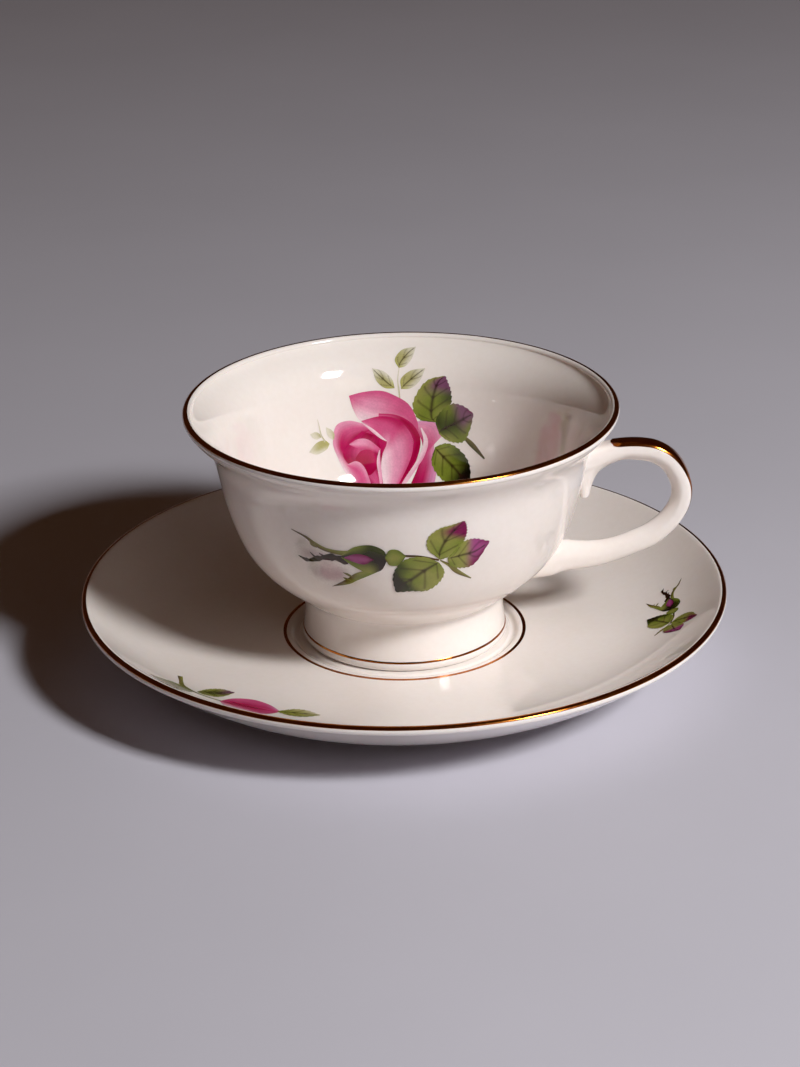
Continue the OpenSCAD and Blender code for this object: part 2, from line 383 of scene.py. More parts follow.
def multiplied(tree, add, first, second):
    """Two colours multiplied."""
    mix = add("ShaderNodeMix", data_type="RGBA", blend_type="MULTIPLY")
    mix.inputs["Factor"].default_value = 1.0
    colour_a, colour_b = [s for s in mix.inputs if s.type == "RGBA"]
    tree.links.new(first, colour_a)
    tree.links.new(second, colour_b)
    return [s for s in mix.outputs if s.type == "RGBA"][0]


def glaze(tree, shader, add, colour, translucence):
    """The clear glaze over a body colour: its gloss, its faint waviness and its translucence."""
    where = add("ShaderNodeTexCoord").outputs["Object"]
    smears = add("ShaderNodeTexNoise", {"Vector": where, "Scale": 90.0, "Detail": 3.0})
    rough = add("ShaderNodeMapRange", {"Value": smears.outputs["Fac"], "To Min": 0.03, "To Max": 0.09})
    waves = add("ShaderNodeTexNoise", {"Vector": where, "Scale": 110.0, "Detail": 2.0})
    bump = add("ShaderNodeBump", {"Height": waves.outputs["Fac"], "Strength": 0.2, "Distance": 0.00005})
    tree.links.new(colour, shader.inputs["Base Color"])
    tree.links.new(rough.outputs["Result"], shader.inputs["Roughness"])
    tree.links.new(bump.outputs["Normal"], shader.inputs["Normal"])
    shader.inputs["IOR"].default_value = 1.52
    shader.inputs["Coat Weight"].default_value = 0.25
    shader.inputs["Coat Roughness"].default_value = 0.03
    shader.inputs["Subsurface Weight"].default_value = translucence
    shader.inputs["Subsurface Radius"].default_value = (0.0025, 0.0016, 0.001)
    shader.inputs["Subsurface Scale"].default_value = 1.0


def porcelain_material():
    """Warm white body with faint clouding and the fine mottle of the glaze."""
    material, tree, shader, add = new_material("white_porcelain")
    where = add("ShaderNodeTexCoord").outputs["Object"]
    clouds = add("ShaderNodeTexNoise", {"Vector": where, "Scale": 28.0, "Detail": 4.0})
    body = ramp(add, clouds.outputs["Fac"], [
        (0.3, linear((0.935, 0.905, 0.885))),
        (0.7, linear((0.955, 0.93, 0.915))),
    ])
    mottle = add("ShaderNodeTexNoise", {"Vector": where, "Scale": 700.0, "Detail": 3.0})
    tint = ramp(add, mottle.outputs["Fac"], [(0.35, (0.985, 0.98, 0.975)), (0.65, (1.0, 1.0, 1.0))])
    glaze(tree, shader, add, multiplied(tree, add, body, tint), 0.12)
    return material


def print_material():
    """Fired flower print: the painted colour under the glaze, with the grain of the printed dots."""
    material, tree, shader, add = new_material("flower_print")
    where = add("ShaderNodeTexCoord").outputs["Object"]
    paint = add("ShaderNodeVertexColor", layer_name="paint").outputs["Color"]
    dots = add("ShaderNodeTexNoise", {"Vector": where, "Scale": 2600.0, "Detail": 2.0})
    wash = add("ShaderNodeTexNoise", {"Vector": where, "Scale": 420.0, "Detail": 3.0})
    grain = ramp(add, dots.outputs["Fac"], [(0.35, (0.95, 0.95, 0.95)), (0.65, (1.04, 1.04, 1.04))])
    flow = ramp(add, wash.outputs["Fac"], [(0.3, (0.93, 0.93, 0.93)), (0.7, (1.05, 1.05, 1.05))])
    grainy = multiplied(tree, add, paint, grain)
    glaze(tree, shader, add, multiplied(tree, add, grainy, flow), 0.0)
    return material


def gold_material():
    """Burnished gold, brushed on thin: brighter and darker patches, fine scratches and dull wear."""
    material, tree, shader, add = new_material("burnished_gold")
    where = add("ShaderNodeTexCoord").outputs["Object"]
    patches = add("ShaderNodeTexNoise", {"Vector": where, "Scale": 160.0, "Detail": 4.0})
    colour = ramp(add, patches.outputs["Fac"], [
        (0.30, linear((0.64, 0.33, 0.12))),
        (0.55, linear((0.78, 0.46, 0.17))),
        (0.75, linear((0.87, 0.61, 0.27))),
    ])
    brushed = add("ShaderNodeTexNoise", {"Vector": where, "Scale": 900.0, "Detail": 3.0})
    rough = add("ShaderNodeMapRange", {"Value": brushed.outputs["Fac"], "To Min": 0.08, "To Max": 0.22})
    bump = add("ShaderNodeBump", {"Height": brushed.outputs["Fac"], "Strength": 0.3, "Distance": 0.00003})
    tree.links.new(colour, shader.inputs["Base Color"])
    tree.links.new(rough.outputs["Result"], shader.inputs["Roughness"])
    tree.links.new(bump.outputs["Normal"], shader.inputs["Normal"])
    shader.inputs["Metallic"].default_value = 1.0
    return material


PORCELAIN = porcelain_material()
PRINT = print_material()
GOLD = gold_material()


# ---------------------------------------------------------------- porcelain

def make_saucer():
    """The saucer, turned in one piece."""
    outline = closed_profile(*(SAUCER[part] for part in ("well", "slope", "rim", "under", "ring")))
    points, faces = turned(outline)
    saucer = mesh_object("saucer_porcelain", points, faces, PORCELAIN)
    place(saucer, "saucer", "porcelain", "saucer_body")


def make_bowl():
    """The bowl with its rounded lip."""
    walls_down = BOWL["inside"][::-1]
    outline = closed_profile(BOWL["under"], BOWL["outside"], BOWL["lip"], walls_down, BOWL["floor"])
    points, faces = turned(outline, CUP_BASE)
    bowl = mesh_object("bowl_porcelain", points, faces, PORCELAIN)
    place(bowl, "cup", "porcelain", "bowl")


def foot_outside():
    """The foot's waist and flare, from the bowl down to its gold band."""
    waist = (WAIST_R, WAIST_Z)
    return np.vstack([
        JUNCTION,
        cubic(JUNCTION, (WAIST_R + 0.2, 11.2), (WAIST_R, 9.6), waist, FOOT_STEPS),
        cubic(waist, (WAIST_R, 5.8), (FOOT_R - 0.5, 4.6), (FOOT_R - FOOT_FLARE, BAND_TOP), FOOT_STEPS),
    ])


def make_foot():
    """The hollow pedestal foot."""
    contact = BOWL["under"][BOWL["under"][:, 0] > HOLLOW_R - 1]
    base = arc((FOOT_R - FOOT_ROUND, FOOT_ROUND), FOOT_ROUND, 10, -90)
    hollow = np.array([(HOLLOW_R + 1.6, 0), (HOLLOW_R, 1.2), contact[0]])
    outline = closed_profile(contact, foot_outside(), base, hollow)
    points, faces = turned(outline, CUP_BASE)
    foot = mesh_object("foot_porcelain", points, faces, PORCELAIN)
    place(foot, "cup", "porcelain", "foot")


# Handle stations: x, height, thickness, width
LOOP = [
    (42, 42.4, 5.4, 6), (47, 43.8, 4.8, 5.6), (51, 44.5, 4.9, 5.4), (55, 44.4, 5.2, 5.2),
    (58.4, 43.7, 5.2, 5.2), (61.5, 41.7, 5.1, 5.2), (63.6, 38.6, 4.9, 5.2),
    (64.7, 35, 4.8, 5.2), (64.3, 31.5, 4.8, 5.2), (62.6, 28.2, 4.9, 5.2),
    (60.2, 25.5, 5.1, 5.3), (57.5, 23.4, 5.3, 5.4), (54.5, 22, 5.3, 5.6),
    (51.2, 20.7, 5.2, 5.8), (47.7, 19.6, 5.5, 6), (44, 18.9, 6.1, 6.4),
    (40.6, 18.7, 6.6, 6.8), (37, 18.7, 7.4, 7.6), (33.4, 18, 8, 8.8),
    (29.5, 16.8, 6.6, 9), (26.5, 15.6, 4.6, 8),
]
TAIL = [
    (42.3, 33, 2.2, 3.4), (42.4, 35, 2.8, 3.8), (42.7, 37.5, 3.6, 4.4), (43.8, 40.3, 4.2, 5),
    (46.2, 42.2, 4, 5.2), (49.6, 43.5, 3.6, 5), (52.8, 44.1, 3, 4.6),
]
WEB = [(41, 40.4, 5.4, 5.8), (44.6, 41.8, 4.4, 5.6), (47.8, 43.1, 3.6, 5.4), (51, 43.9, 3, 5)]
OUTER_SQUARENESS = 0.5
INNER_SQUARENESS = 1.4
ROOT_DEPTH = 1.2
LOOP_STEPS = 160
TAIL_STEPS = 50
SECTION_STEPS = 48
MELT_VOXEL = 0.28
MELT_PASSES = 14

# The pad of wall that the roots melt into: its layers' depths, its heights and its half angle
PAD_DEPTHS = (0.22, 1.3)
PAD_FROM = 11.5
PAD_TO = 50
PAD_SPREAD = 15
PAD_COLUMNS = 41


def squared(value, power):
    """A signed power, which squares a round section."""
    return np.sign(value) * np.abs(value) ** power


def section(path, sideways, angles, grow=0.0):
    """Points of the handle's section at every station: 90 degrees is its outer face."""
    a = np.radians(angles)
    power = np.where(np.sin(a) > 0, OUTER_SQUARENESS, INNER_SQUARENESS)
    out = squared(np.sin(a), power)
    side = squared(np.cos(a), power)
    half = path[:, 2:3] / 2 + grow
    x = path[:, 0:1] + sideways[:, 0:1] * out * half
    z = path[:, 1:2] + sideways[:, 1:2] * out * half
    y = (path[:, 3:4] / 2 + grow) * side
    return np.stack([x, y, z + CUP_BASE], -1)


def tube(stations, steps):
    """A closed tube through the handle's stations."""
    path = smooth_line(stations, steps)
    angles = np.linspace(0, 360, SECTION_STEPS, endpoint=False)
    rings = section(path, normals(path[:, :2]), np.broadcast_to(angles, (steps, SECTION_STEPS)))
    rings = rooted(rings.reshape(-1, 3))
    faces = grid_faces(steps, SECTION_STEPS, True)
    last = (steps - 1) * SECTION_STEPS
    faces.append(tuple(range(SECTION_STEPS)))
    faces.append(tuple(last + k for k in reversed(range(SECTION_STEPS))))
    return rings, faces


def rooted(points):
    """Points that would go too deep into the bowl's wall, brought back to the depth of the roots."""
    wall = BOWL["outside"]
    deep = moved(wall, ROOT_DEPTH, ROOT_DEPTH)
    radius = np.hypot(points[:, 0], points[:, 1])
    height = points[:, 2] - CUP_BASE
    flat = np.stack([radius, height], 1)
    nearest = np.linalg.norm(flat[:, None] - deep[None], axis=2).argmin(1)
    inward = ((flat - deep[nearest]) * normals(wall)[nearest]).sum(1) > 0
    scale = np.where(inward, deep[nearest, 0] / radius, 1)
    kept = points.copy()
    kept[:, 0] *= scale
    kept[:, 1] *= scale
    kept[:, 2] = np.where(inward, deep[nearest, 1] + CUP_BASE, points[:, 2])
    return kept


def wall_pad():
    """A piece of wall just under the bowl's surface, which the handle's ends melt into."""
    wall = BOWL["outside"]
    shell = wall[(wall[:, 1] > PAD_FROM) & (wall[:, 1] < PAD_TO)][::3]
    angles = np.radians(np.linspace(-PAD_SPREAD, PAD_SPREAD, PAD_COLUMNS))
    layers = []
    for depth in PAD_DEPTHS:
        line = moved(shell, depth, depth)
        x = line[:, 0:1] * np.cos(angles)
        y = line[:, 0:1] * np.sin(angles)
        z = np.broadcast_to(line[:, 1:2] + CUP_BASE, x.shape)
        layers.append(np.stack([x, y, z], -1))
    rows, cols = layers[0].shape[:2]
    outer = grid_faces(rows, cols, False)
    count = rows * cols
    faces = outer + [tuple(reversed([i + count for i in f])) for f in outer]
    edge = list(range(cols)) + [i * cols + cols - 1 for i in range(1, rows)]
    edge += [(rows - 1) * cols + k for k in reversed(range(cols - 1))]
    edge += [i * cols for i in reversed(range(1, rows - 1))]
    for a, b in zip(edge, edge[1:] + edge[:1]):
        faces.append((b, a, a + count, b + count))
    return np.vstack([layer.reshape(-1, 3) for layer in layers]), faces


def make_handle():
    """The loop, its tail, the web between them and the wall pad, melted together with soft fillets."""
    points = []
    faces = []
    branches = (tube(LOOP, LOOP_STEPS), tube(TAIL, TAIL_STEPS), tube(WEB, TAIL_STEPS), wall_pad())
    for part_points, part_faces in branches:
        start = sum(len(p) for p in points)
        points.append(part_points)
        faces += [tuple(i + start for i in f) for f in part_faces]
    handle = mesh_object("handle_porcelain", np.vstack(points), faces, PORCELAIN)
    melt = handle.modifiers.new("melt", "REMESH")
    melt.mode = "VOXEL"
    melt.voxel_size = MELT_VOXEL * MM
    melt.use_smooth_shade = True
    soften = handle.modifiers.new("soften", "SMOOTH")
    soften.factor = 0.5
    soften.iterations = MELT_PASSES
    place(handle, "cup", "porcelain", "handle")
    return handle


# ---------------------------------------------------------------- gilding

def wavering(count, seed, amount):
    """A closed, slowly wavering line, as a hand-drawn edge has."""
    rng = np.random.default_rng(seed)
    a = np.linspace(0, 2 * math.pi, count, endpoint=False)
    total = np.zeros(count)
    for wave in (2, 3, 5, 9, 17, 31):
        total += rng.normal() * np.sin(wave * a + rng.uniform(0, 2 * math.pi)) / math.sqrt(wave)
    return amount * total / np.abs(total).max()


def gold_line(name, line, height, body, node, seed, waver):
    """A gold line laid on a turned profile, thicker in its middle, with edges that waver a little."""
    length = np.r_[0, np.cumsum(np.linalg.norm(np.diff(line, axis=0), axis=1))]
    base = waver + (length[-1] - 2 * waver) * np.linspace(0, 1, GOLD_ROWS)
    low = wavering(TURN_STEPS, seed, waver)
    high = wavering(TURN_STEPS, seed + 1, waver)
    share = np.linspace(0, 1, GOLD_ROWS)[:, None]
    along = base[:, None] + low * (1 - share) + high * share
    normal = normals(line)
    a = np.linspace(0, 2 * math.pi, TURN_STEPS, endpoint=False)
    lift = GOLD_LIFT * np.sin(math.pi * share) ** GOLD_ROUNDING
    lift[0] = lift[-1] = -GOLD_SINK
    r = np.interp(along, length, line[:, 0]) + lift * np.interp(along, length, normal[:, 0])
    z = np.interp(along, length, line[:, 1]) + lift * np.interp(along, length, normal[:, 1])
    points = np.stack([r * np.cos(a), r * np.sin(a), z + height], -1).reshape(-1, 3)
    faces = grid_faces(GOLD_ROWS, TURN_STEPS, True)
    place(mesh_object(name, points, faces, GOLD), body, "gold", node)


def make_gold_lines():
    """The lines on both rims, round the well and round the foot."""
    rim = arc(RIM_CENTRE, EDGE_R, *SAUCER_GOLD_ARC, GOLD_ARC_STEPS)
    gold_line("saucer_rim_gold", rim, 0, "saucer", "saucer_rim_gilding", seed=1, waver=0.05)
    well = np.array([(LINE_R - GOLD_MARGIN, STEP_Z), (LINE_R + LINE_W + GOLD_MARGIN, STEP_Z)])
    gold_line("saucer_well_gold", well, 0, "saucer", "saucer_well_gilding", seed=3, waver=0.06)
    lip = arc(LIP_CENTRE, LIP_BEAD_R, *LIP_GOLD_ARC, GOLD_ARC_STEPS)
    gold_line("rim_gold", lip, CUP_BASE, "cup", "rim_gilding", seed=5, waver=0.05)
    band = np.array([(FOOT_R - FOOT_FLARE, BAND_TOP), (FOOT_R - BAND_INSET, BAND_TOP - BAND_H)])
    gold_line("foot_gold", band, CUP_BASE, "cup", "foot_gilding", seed=7, waver=0.05)


def evened(grid, passes):
    """A grid of values with its small unevenness smoothed out."""
    for _ in range(passes):
        for axis in (0, 1):
            middle = np.moveaxis(grid, axis, 0)
            blend = middle.copy()
            blend[1:-1] = (middle[:-2] + 2 * middle[1:-1] + middle[2:]) / 4
            grid = np.moveaxis(blend, 0, axis)
    return grid


def stroke_angles(count):
    """Angles across the stroke at each of its stations: round at its start, drawn out to a point."""
    u = np.linspace(0, 1, count)
    start = np.sqrt(np.clip(1 - (1 - np.clip(u / STROKE_START, 0, 1)) ** 2, 0, 1))
    taper = np.clip((1 - u) / STROKE_TAPER, 0, 1) ** TAPER_POWER
    half = STROKE_LEAST + STROKE_SPREAD * start * taper
    return 90 + half[:, None] * np.linspace(-1, 1, STROKE_COLUMNS)


def laid_on(handle, points, axis):
    """Points outside the handle brought down on its melted surface, towards its axis."""
    surface = BVHTree.FromObject(handle, bpy.context.evaluated_depsgraph_get())
    laid = []
    for start, aim in zip(points.reshape(-1, 3), np.broadcast_to(axis, points.shape).reshape(-1, 3)):
        x, y, z = aim - start
        hit = surface.ray_cast(Vector(start) * MM, Vector((x, y * AIM_FLATNESS, z)).normalized())
        laid.append((hit[0] + hit[1] * GOLD_LIFT * MM) / MM)
    return np.array(laid).reshape(points.shape)


def make_handle_gold(handle):
    """The stroke over the handle's outer face."""
    path = smooth_line(LOOP, LOOP_STEPS)
    sideways = normals(path[:, :2])
    first, last = int(STROKE_FROM * LOOP_STEPS), int(STROKE_TO * LOOP_STEPS)
    path, sideways = path[first:last], sideways[first:last]
    outer = section(path, sideways, stroke_angles(len(path)), STROKE_CLEARANCE)
    axis = np.stack([path[:, 0], np.zeros(len(path)), path[:, 1] + CUP_BASE], 1)[:, None, :]
    offset = laid_on(handle, outer, axis) - outer
    points = (outer + evened(offset, STROKE_PASSES)).reshape(-1, 3)
    faces = [tuple(reversed(f)) for f in grid_faces(len(path), STROKE_COLUMNS, False)]
    place(mesh_object("handle_gold", points, faces, GOLD), "cup", "gold", "handle_gilding")


# ---------------------------------------------------------------- printed flowers

def tone_grid(tones, u, v):
    """Colours blended smoothly between rows of named paints: rows follow each other along u."""
    table = np.array([[linear(PAINT[name]) for name in row.split()] for row in tones])
    rows, cols = table.shape[:2]

    def ease(position, count):
        """The two rows or columns beside each position, and the eased share of the second."""
        s = np.clip(position, 0, 1) * (count - 1)
        i = np.minimum(s.astype(int), max(count - 2, 0))
        t = s - i
        return i, np.minimum(i + 1, count - 1), (t * t * (3 - 2 * t))[..., None]

    i0, i1, ti = ease(u, rows)
    j0, j1, tj = ease(v, cols)
    top = table[i0, j0] * (1 - tj) + table[i0, j1] * tj
    low = table[i1, j0] * (1 - tj) + table[i1, j1] * tj
    return top * (1 - ti) + low * ti


def toothed(points, across, u, v, teeth):
    """An area's points with its two edges cut into teeth that point to its tip."""
    saw = (u * teeth) % 1.0
    across = across / np.maximum(np.linalg.norm(across, axis=1, keepdims=True), NO_WIDTH)
    outward = (0.5 - v)[..., None] * 2
    depth = (TOOTH_DEPTH * saw)[..., None]
    return points + across[:, None, :] * outward * (np.abs(outward) ** 3) * depth


def veined(colour, u, v, veins):
    """A leaf's colour with a dark rib along its middle and slanting side veins."""
    off_rib = np.abs(v - 0.5)
    rib = np.exp(-((off_rib / RIB_WIDTH) ** 2)) * (u < RIB_END)
    slant = (u * veins - off_rib * VEIN_SLANT) % 1.0
    side = np.exp(-(((slant - 0.5) / VEIN_WIDTH) ** 2)) * (off_rib < VEIN_REACH)
    dark = np.clip(RIB_DARKNESS * rib + VEIN_DARKNESS * side, 0, DARKEST_VEIN)[..., None]
    return colour * (1 - dark) + linear(PAINT["dark_brown"]) * dark


def streaked(colour, u, v, strength):
    """A petal's colour with darker streaks along it: fine wavy ones that broad ones fade in and out."""
    fine = np.sin(v * 37 + 3 * np.sin(u * 5))
    broad = np.sin(v * 17 + u * 4)
    wave = 0.5 + 0.5 * fine * broad
    return colour * (1 - strength * wave[..., None])


def patch(left, right, tones, veins=0, teeth=0, streaks=0.0):
    """A painted area between two edges that run from its base to its tip."""
    span = np.linalg.norm(np.diff(np.array(left, float), axis=0), axis=1).sum()
    rows = max(int(span / PRINT_PITCH), 8)
    a = smooth_line(left, rows)
    b = smooth_line(right, rows)
    width = np.linalg.norm(a - b, axis=1).max()
    cols = max(int(width / PRINT_PITCH), 4) | 1
    u = np.linspace(0, 1, rows)[:, None] * np.ones(cols)
    v = np.ones(rows)[:, None] * np.linspace(0, 1, cols)
    points = a[:, None, :] * (1 - v[..., None]) + b[:, None, :] * v[..., None]
    colour = tone_grid(tones, u, v)
    if teeth:
        points = toothed(points, a - b, u, v, teeth)
    if veins:
        colour = veined(colour, u, v, veins)
    if streaks:
        colour = streaked(colour, u, v, streaks)
    return points.reshape(-1, 2), grid_faces(rows, cols, False), colour.reshape(-1, 3)


def stroke(spine, widths, tones, thorns=0):
    """A painted stroke along a line, with its width given at each of its points."""
    line = np.array([(x, z, w) for (x, z), w in zip(spine, widths)], float)
    steps = max(4 * len(spine), 12)
    path = smooth_line(line, steps)
    side = normals(path[:, :2]) * path[:, 2:3] / 2
    if thorns:
        saw = (np.linspace(0, thorns, steps) % 1.0)[:, None]
        side = side * (1 + THORN_SIZE * saw)
    return patch(path[:, :2] + side, path[:, :2] - side, tones)


def print_object(name, parts, wrap, body, slot, node):
    """One transfer: its painted areas, laid over each other on the surface that wrap describes."""
    points, faces, paint = [], [], []
    count = 0
    for layer, (flat, quads, colour) in enumerate(parts):
        points.append(wrap(flat, PRINT_LIFT + LAYER_LIFT * layer))
        faces += [tuple(i + count for i in f) for f in quads]
        paint.append(colour)
        count += len(flat)
    points = np.vstack(points)
    faces = outward_faces(points, faces, wrap)
    place(mesh_object(name, points, faces, PRINT, np.vstack(paint)), body, slot, node)


def outward_faces(points, faces, wrap):
    """The faces, each turned so that it looks away from the porcelain."""
    result = []
    for face in faces:
        a, b, c = points[face[0]], points[face[1]], points[face[2]]
        normal = np.cross(b - a, c - a)
        looks_out = np.dot(normal, wrap.outward((a + c) / 2)) > 0
        result.append(face if looks_out else tuple(reversed(face)))
    return result


class WallWrap:
    """Lays a flat motif, drawn in x and height, on one of the bowl's walls."""

    def __init__(self, line, side, facing):
        """line is the wall's profile. side is 1 at the back. facing is 1 towards the cup's axis."""
        self.line = line
        self.side = side
        self.facing = facing

    def __call__(self, flat, lift):
        """The motif's points on the wall, lifted off it."""
        x, z = flat[:, 0], flat[:, 1]
        normal = normals(self.line)
        nr = np.interp(z, self.line[:, 1], normal[:, 0]) * self.facing
        nz = np.interp(z, self.line[:, 1], normal[:, 1]) * self.facing
        r = np.interp(z, self.line[:, 1], self.line[:, 0]) + nr * lift
        y = self.side * np.sqrt(np.maximum(r**2 - x**2, 0))
        return np.stack([x, y, z + nz * lift + CUP_BASE], 1)

    def outward(self, p):
        """The direction off the wall at a point."""
        return np.array([p[0], p[1], 0]) * (-self.facing)


class SaucerWrap:
    """Lays a flat motif on the saucer's slope, at an azimuth and a radius."""

    def __init__(self, azimuth, radius, turn, scale, centre):
        """Angles are in degrees. centre is the point of the motif that lies at the radius."""
        self.azimuth = math.radians(azimuth)
        self.radius = radius
        self.turn = math.radians(turn)
        self.scale = scale
        self.centre = np.array(centre, float)

    def __call__(self, flat, lift):
        """The motif's points on the slope, lifted off it."""
        p = (flat - self.centre) * self.scale
        c, s = math.cos(self.turn), math.sin(self.turn)
        u = p[:, 0] * c - p[:, 1] * s + self.radius
        w = p[:, 0] * s + p[:, 1] * c
        c, s = math.cos(self.azimuth), math.sin(self.azimuth)
        x, y = u * c - w * s, u * s + w * c
        r = np.hypot(x, y)
        z = np.interp(r, SAUCER["slope"][:, 0], SAUCER["slope"][:, 1]) + lift
        return np.stack([x, y, z], 1)

    def outward(self, p):
        """The direction off the slope, which is up at every point."""
        return np.array([0, 0, 1.0])


def rose_bloom():
    """The open rose, back petals first."""
    return [
        patch([(4, 37.5), (8, 37.5), (9.8, 34.5), (8, 32), (8.5, 28.5), (8, 24), (5, 18), (0, 15.5)],
              [(3, 36), (5, 33), (5, 30), (4, 27), (2.5, 24), (0, 20), (-3, 17.5), (-4, 17)],
              ["lilac soft rose", "soft rose magenta", "lilac magenta deep",
               "soft rose magenta"], streaks=0.12),
        patch([(-12.5, 44.5), (-9, 45), (-5, 45), (-2, 44), (2, 41.5), (4, 37.5), (4.3, 34)],
              [(-12.5, 44.4), (-11.5, 41), (-9.5, 38), (-5, 37.5), (0, 37), (3, 35), (4, 34)],
              ["rose rose rose", "rose soft pale", "rose rose soft", "rose rose magenta"], streaks=0.10),
        patch([(-8, 36.5), (-12.6, 34), (-14, 30), (-11.6, 25), (-6, 19.5), (-4, 17.5)],
              [(-2, 37), (2, 35), (3, 31), (1.4, 26), (-1.4, 20.5), (-3.6, 17.5)],
              ["rose magenta rose", "magenta magenta rose", "rose magenta magenta",
               "rose rose magenta"], streaks=0.1),
        patch([(-7, 36.5), (-10, 37.8), (-13, 38.6), (-15.8, 37.8), (-16.6, 34), (-15.5, 30.5),
               (-13.5, 26.5), (-10, 21), (-4, 16.5)],
              [(-7, 36), (-9.5, 35), (-11, 34), (-12, 32.8), (-12.5, 31.5), (-11.5, 29.5),
               (-9.5, 26.5), (-7, 22.5), (-3.5, 18.5)],
              ["soft rose magenta", "soft rose deep", "soft magenta magenta",
               "pale rose magenta", "soft rose rose"], streaks=0.12),
        patch([(-9.5, 35.8), (-12.5, 33.6), (-14.2, 31), (-12.6, 28.2), (-9.8, 25.6), (-6.5, 22.5),
               (-4.2, 18.5)],
              [(-5.5, 34), (-5.2, 32), (-4.8, 30), (-5, 28.5), (-5, 26.5), (-4.6, 23), (-3.8, 19)],
              ["magenta deep magenta", "magenta rose deep", "deep magenta deep",
               "magenta rose magenta", "rose soft rose"], streaks=0.2),
        patch([(-12.6, 33.2), (-10.5, 34), (-8, 33.6), (-5, 31.2)],
              [(-12.6, 32.9), (-10.6, 31.9), (-8.4, 31.5), (-5.2, 29.8)],
              ["rose soft rose", "soft soft rose", "rose rose magenta"]),
        patch([(-11.2, 29.8), (-9.8, 31.2), (-7.6, 31.2), (-5.6, 29.4)],
              [(-11.2, 29.2), (-10.2, 26.8), (-7.8, 25.6), (-5.6, 27.4)],
              ["deep deep magenta", "magenta deep deep", "magenta magenta deep"]),
        patch([(-13.2, 28.6), (-11, 29), (-9.2, 27.6), (-7.8, 24.5), (-6.4, 20.5)],
              [(-13, 28), (-11.8, 25.8), (-10, 23.4), (-8.4, 21.4), (-6.6, 20)],
              ["soft rose soft", "soft rose rose", "rose soft rose"], streaks=0.1),
        patch([(-5.4, 39.6), (-1, 39), (2.4, 37.2), (4.4, 34.4), (4.6, 31.5), (3, 27.2),
               (-0.4, 22.6), (-4, 18)],
              [(-5.4, 38.6), (-1.6, 38), (1, 36.2), (2.9, 33.2), (2.6, 30.5), (1.2, 27),
               (-1.8, 22.8), (-4.2, 18.2)],
              ["magenta rose magenta", "magenta deep magenta", "deep deep magenta",
               "magenta deep deep", "rose magenta magenta"]),
        patch([(-9.6, 38), (-6.6, 35.4), (-3.6, 33), (-4.6, 30), (-5, 27.2), (-4.6, 23.5), (-4.2, 18.5)],
              [(-9.6, 38.2), (-5.2, 38.9), (-1.5, 38.2), (1.4, 36), (2.9, 32.6), (1.6, 27.4), (-4, 18.4)],
              ["soft rose rose", "rose rose magenta", "soft rose magenta",
               "pale soft rose", "pale soft rose", "pale soft rose"], streaks=0.06),
        stroke([(-9.4, 37.6), (-7, 35.7), (-5, 34), (-3.6, 33)], [0.2, 0.7, 0.6, 0.2],
               ["pale soft", "pale pale"]),
        stroke([(4.9, 36), (6, 33), (5.2, 30), (3.6, 27.4), (0.6, 23.6), (-3, 19)],
               [0.3, 1.1, 1.2, 1, 0.9, 0.2],
               ["pale pale", "soft pale", "pale soft"]),
        stroke([(-5.3, 31), (-5.6, 28.4), (-5.2, 25), (-4.8, 20)], [0.2, 0.9, 0.8, 0.2],
               ["soft pale", "soft soft"]),
    ]


def rose_leaves():
    """The three leaves and the stem beside the rose."""
    return [
        stroke([(12, 35.5), (14.7, 34.9), (17.1, 33.2), (20.1, 30.5)], [0.4, 0.5, 1.3, 0.4],
               ["olive brown", "brown dark_green"]),
        patch([(8.4, 37.4), (4.6, 38), (3.1, 41), (4.4, 44.6), (7, 47.4), (10.9, 48.5)],
              [(8.6, 37.4), (10.4, 39.2), (12.1, 42.1), (12.2, 44.8), (11.6, 46.8), (10.9, 48.5)],
              ["dark_green green dark_green", "green green olive", "olive green dark_green",
               "olive purple purple", "olive purple purple"], veins=5, teeth=11),
        patch([(9.2, 35), (8.6, 37.6), (10.2, 40.4), (12.6, 42), (15.2, 41.8), (17.6, 40.4)],
              [(9.2, 34.8), (11, 33.6), (13.4, 33.2), (15.4, 34), (16.8, 37), (17.6, 40.4)],
              ["dark_green green olive", "dark_green dark_green olive",
               "green dark_green green", "purple purple green", "plum purple purple"],
              veins=5, teeth=11),
        patch([(8.2, 31.6), (11, 32.6), (13.6, 31.8), (15.8, 29.6), (16.6, 26.8), (16, 23.2)],
              [(8.2, 31.4), (7.4, 28.4), (8.6, 25.8), (10.8, 24.2), (13.4, 23.2), (16, 23.2)],
              ["green green dark_green", "green olive green", "dark_green green green",
               "black_green black_plum dark_green", "black_green black_plum black_plum"],
              veins=5, teeth=11),
    ]


